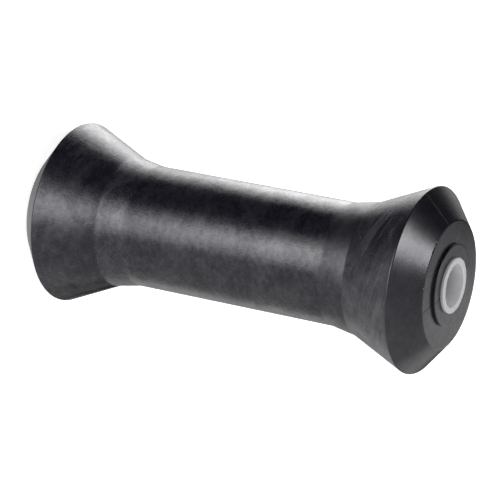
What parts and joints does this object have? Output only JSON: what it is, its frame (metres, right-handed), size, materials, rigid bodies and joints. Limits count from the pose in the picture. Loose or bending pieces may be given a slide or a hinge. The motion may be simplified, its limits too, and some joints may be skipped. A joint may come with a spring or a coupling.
{
  "type": "boat trailer roller",
  "caption": "Waisted black rubber keel roller with flared ends on a white plastic bore tube, for a trailer spindle.",
  "frame": {"origin": "middle of the lower end of the bore tube, on the roller's axis, where the roller stands", "axes": "+Z along the roller's axis, up through the bore; the roller is the same all round, and -Y is the side that the picture shows"},
  "size_m": [0.09, 0.09, 0.22],
  "materials": {
    "rubber": "black moulded rubber, satin, lightly scuffed round the circumference",
    "nylon": "plain off-white nylon, satin"
  },
  "bodies": {
    "root": {"rubber_body": "rubber", "bush_tube": "nylon"}
  },
  "joints": []
}
